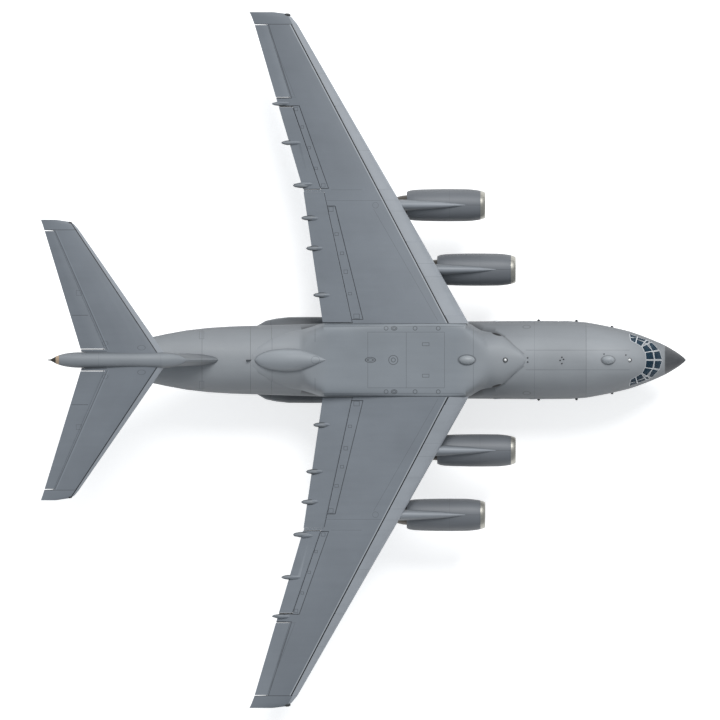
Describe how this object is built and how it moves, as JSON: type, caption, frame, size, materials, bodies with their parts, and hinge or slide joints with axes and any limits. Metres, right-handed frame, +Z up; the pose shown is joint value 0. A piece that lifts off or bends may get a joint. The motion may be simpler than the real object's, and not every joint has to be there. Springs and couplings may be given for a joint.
{
  "type": "military transport plane, 1:2 scale model",
  "caption": "High-winged jet transport with swept wings, engines on pylons, T-tail, hollow hold, rear ramp and door, moving flaps and rudders, and turning fans and wheels, parked on its gear.",
  "frame": {"origin": "on the floor, in the middle of the plane's length and span", "axes": "+X points to the nose, +Y to port, the pilots' left, and +Z up"},
  "size_m": [23.37, 25.25, 7.4725],
  "materials": {
    "body_grey": "matt mid-grey paint with light weathering",
    "wing_grey": "matt darker grey paint with panel lines",
    "nacelle_grey": "satin dark grey paint with a bare metal lip",
    "radome_grey": "matt dark grey",
    "dark_metal": "dark machined metal",
    "tyre_black": "matt black rubber on pale rims",
    "window_glass": "dark blue-green tint",
    "interior_grey": "matt grey trim"
  },
  "bodies": {
    "airframe": {"centre_fuselage": "body_grey", "cockpit_glass": "window_glass", "fin": "body_grey", "flight_deck": "interior_grey", "forward_fuselage": "body_grey", "gear_fairing_left": "body_grey", "gear_fairing_right": "body_grey", "main_legs_left": "dark_metal", "main_legs_right": "dark_metal", "nacelle_inner_left": "nacelle_grey", "nacelle_inner_right": "nacelle_grey", "nacelle_outer_left": "nacelle_grey", "nacelle_outer_right": "nacelle_grey", "nose_gear_door_left": "body_grey", "nose_gear_door_right": "body_grey", "nose_leg": "dark_metal", "nose_section": "body_grey", "pylon_inner_left": "wing_grey", "pylon_inner_right": "wing_grey", "pylon_outer_left": "wing_grey", "pylon_outer_right": "wing_grey", "radome": "radome_grey", "rear_fuselage": "body_grey", "tail_bullet": "body_grey", "tail_cone": "body_grey", "tailplane_left": "wing_grey", "tailplane_right": "wing_grey", "wing_fairing": "wing_grey", "wing_left": "wing_grey", "wing_right": "wing_grey"},
    "crew_door": {"crew_door": "body_grey"},
    "cargo_ramp": {"cargo_ramp": "body_grey"},
    "cargo_door": {"cargo_door": "body_grey"},
    "rudder": {"rudder": "body_grey"},
    "nose_fork": {"nose_fork": "dark_metal"},
    "nose_wheels": {"nose_wheels": "tyre_black"},
    "aileron_left": {"aileron_left": "wing_grey"},
    "elevator_left": {"elevator_left": "wing_grey"},
    "flap_inner_left": {"flap_inner_left": "wing_grey"},
    "flap_outer_left": {"flap_outer_left": "wing_grey"},
    "spoiler_inner_left": {"spoiler_inner_left": "wing_grey"},
    "spoiler_outer_left": {"spoiler_outer_left": "wing_grey"},
    "fan_inner_left": {"fan_inner_left": "dark_metal"},
    "fan_outer_left": {"fan_outer_left": "dark_metal"},
    "main_wheels_front_left": {"main_wheels_front_left": "tyre_black"},
    "main_wheels_middle_left": {"main_wheels_middle_left": "tyre_black"},
    "main_wheels_rear_left": {"main_wheels_rear_left": "tyre_black"},
    "aileron_right": {"aileron_right": "wing_grey"},
    "elevator_right": {"elevator_right": "wing_grey"},
    "flap_inner_right": {"flap_inner_right": "wing_grey"},
    "flap_outer_right": {"flap_outer_right": "wing_grey"},
    "spoiler_inner_right": {"spoiler_inner_right": "wing_grey"},
    "spoiler_outer_right": {"spoiler_outer_right": "wing_grey"},
    "fan_inner_right": {"fan_inner_right": "dark_metal"},
    "fan_outer_right": {"fan_outer_right": "dark_metal"},
    "main_wheels_front_right": {"main_wheels_front_right": "tyre_black"},
    "main_wheels_middle_right": {"main_wheels_middle_right": "tyre_black"},
    "main_wheels_rear_right": {"main_wheels_rear_right": "tyre_black"}
  },
  "joints": [
    {"name": "crew_door_hinge", "type": "hinge", "parent": "airframe", "child": "crew_door", "pos_m": [7.575, 1.19321, 1.265], "axis": [-1, 0, 0], "range_deg": [0, 100]},
    {"name": "cargo_ramp_hinge", "type": "hinge", "parent": "airframe", "child": "cargo_ramp", "pos_m": [-3.48, 0.2, 0.72586], "axis": [0, -1, 0], "range_deg": [0, 34]},
    {"name": "cargo_door_hinge", "type": "hinge", "parent": "airframe", "child": "cargo_door", "pos_m": [-7.72, 0.2, 2.27307], "axis": [0, -1, 0], "range_deg": [0, 26]},
    {"name": "rudder_hinge", "type": "hinge", "parent": "airframe", "child": "rudder", "pos_m": [-8.54142, 0, 3.68], "axis": [-0.3595, 0, 0.9331], "range_deg": [-25, 25]},
    {"name": "nose_steering", "type": "hinge", "parent": "airframe", "child": "nose_fork", "pos_m": [8.525, 0, 0.26], "axis": [0, 0, 1], "range_deg": [-50, 50]},
    {"name": "nose_wheel_spin", "type": "hinge", "parent": "nose_fork", "child": "nose_wheels", "pos_m": [8.525, 0, 0.26], "axis": [0, 1, 0], "continuous": true},
    {"name": "aileron_left_hinge", "type": "hinge", "parent": "airframe", "child": "aileron_left", "pos_m": [-3.54308, 12.155, 2.77709], "axis": [0.2983, -0.9532, 0.0486], "range_deg": [-20, 20]},
    {"name": "elevator_left_hinge", "type": "hinge", "parent": "airframe", "child": "elevator_left", "pos_m": [-11.23652, 4.66, 7.10087], "axis": [0.3925, -0.9196, 0.016], "range_deg": [-20, 20]},
    {"name": "flap_inner_left_hinge", "type": "hinge", "parent": "airframe", "child": "flap_inner_left", "pos_m": [-1.49633, 6.09, 3.0292], "axis": [0.2116, -0.9767, 0.0352], "range_deg": [0, 35]},
    {"name": "flap_outer_left_hinge", "type": "hinge", "parent": "airframe", "child": "flap_outer_left", "pos_m": [-2.63797, 9.175, 2.90203], "axis": [0.3248, -0.9449, 0.0408], "range_deg": [0, 35]},
    {"name": "spoiler_inner_left_hinge", "type": "hinge", "parent": "airframe", "child": "spoiler_inner_left", "pos_m": [-0.0725, 1.485, 3.4768], "axis": [-0.2396, 0.9691, -0.0587], "range_deg": [0, 50]},
    {"name": "spoiler_outer_left_hinge", "type": "hinge", "parent": "airframe", "child": "spoiler_outer_left", "pos_m": [-1.3225, 6.23, 3.17933], "axis": [-0.3346, 0.9407, -0.0566], "range_deg": [0, 50]},
    {"name": "fan_inner_left_spin", "type": "hinge", "parent": "airframe", "child": "fan_inner_left", "pos_m": [5.495, 3.28, 2.4], "axis": [1, 0, 0], "continuous": true},
    {"name": "fan_outer_left_spin", "type": "hinge", "parent": "airframe", "child": "fan_outer_left", "pos_m": [4.39, 5.62, 2.29], "axis": [1, 0, 0], "continuous": true},
    {"name": "main_wheels_front_left_spin", "type": "hinge", "parent": "airframe", "child": "main_wheels_front_left", "pos_m": [0.7, 1.15, 0.325], "axis": [0, 1, 0], "continuous": true},
    {"name": "main_wheels_middle_left_spin", "type": "hinge", "parent": "airframe", "child": "main_wheels_middle_left", "pos_m": [-0.35, 1.15, 0.325], "axis": [0, 1, 0], "continuous": true},
    {"name": "main_wheels_rear_left_spin", "type": "hinge", "parent": "airframe", "child": "main_wheels_rear_left", "pos_m": [-1.4, 1.15, 0.325], "axis": [0, 1, 0], "continuous": true},
    {"name": "aileron_right_hinge", "type": "hinge", "parent": "airframe", "child": "aileron_right", "pos_m": [-2.72305, -9.535, 2.91068], "axis": [-0.2983, -0.9532, -0.0486], "range_deg": [-20, 20]},
    {"name": "elevator_right_hinge", "type": "hinge", "parent": "airframe", "child": "elevator_right", "pos_m": [-9.42053, -0.405, 7.17471], "axis": [-0.3925, -0.9196, -0.016], "range_deg": [-20, 20]},
    {"name": "flap_inner_right_hinge", "type": "hinge", "parent": "airframe", "child": "flap_inner_right", "pos_m": [-0.47367, -1.37, 3.19918], "axis": [-0.2116, -0.9767, -0.0352], "range_deg": [0, 35]},
    {"name": "flap_outer_right_hinge", "type": "hinge", "parent": "airframe", "child": "flap_outer_right", "pos_m": [-1.61703, -6.205, 3.03018], "axis": [-0.3248, -0.9449, -0.0408], "range_deg": [0, 35]},
    {"name": "spoiler_inner_right_hinge", "type": "hinge", "parent": "airframe", "child": "spoiler_inner_right", "pos_m": [-1.0825, -5.57, 3.22921], "axis": [0.2396, 0.9691, 0.0587], "range_deg": [0, 50]},
    {"name": "spoiler_outer_right_hinge", "type": "hinge", "parent": "airframe", "child": "spoiler_outer_right", "pos_m": [-2.3825, -9.21, 3.00007], "axis": [0.3346, 0.9407, 0.0566], "range_deg": [0, 50]},
    {"name": "fan_inner_right_spin", "type": "hinge", "parent": "airframe", "child": "fan_inner_right", "pos_m": [5.495, -3.28, 2.4], "axis": [1, 0, 0], "continuous": true},
    {"name": "fan_outer_right_spin", "type": "hinge", "parent": "airframe", "child": "fan_outer_right", "pos_m": [4.39, -5.62, 2.29], "axis": [1, 0, 0], "continuous": true},
    {"name": "main_wheels_front_right_spin", "type": "hinge", "parent": "airframe", "child": "main_wheels_front_right", "pos_m": [0.7, -1.15, 0.325], "axis": [0, 1, 0], "continuous": true},
    {"name": "main_wheels_middle_right_spin", "type": "hinge", "parent": "airframe", "child": "main_wheels_middle_right", "pos_m": [-0.35, -1.15, 0.325], "axis": [0, 1, 0], "continuous": true},
    {"name": "main_wheels_rear_right_spin", "type": "hinge", "parent": "airframe", "child": "main_wheels_rear_right", "pos_m": [-1.4, -1.15, 0.325], "axis": [0, 1, 0], "continuous": true}
  ]
}
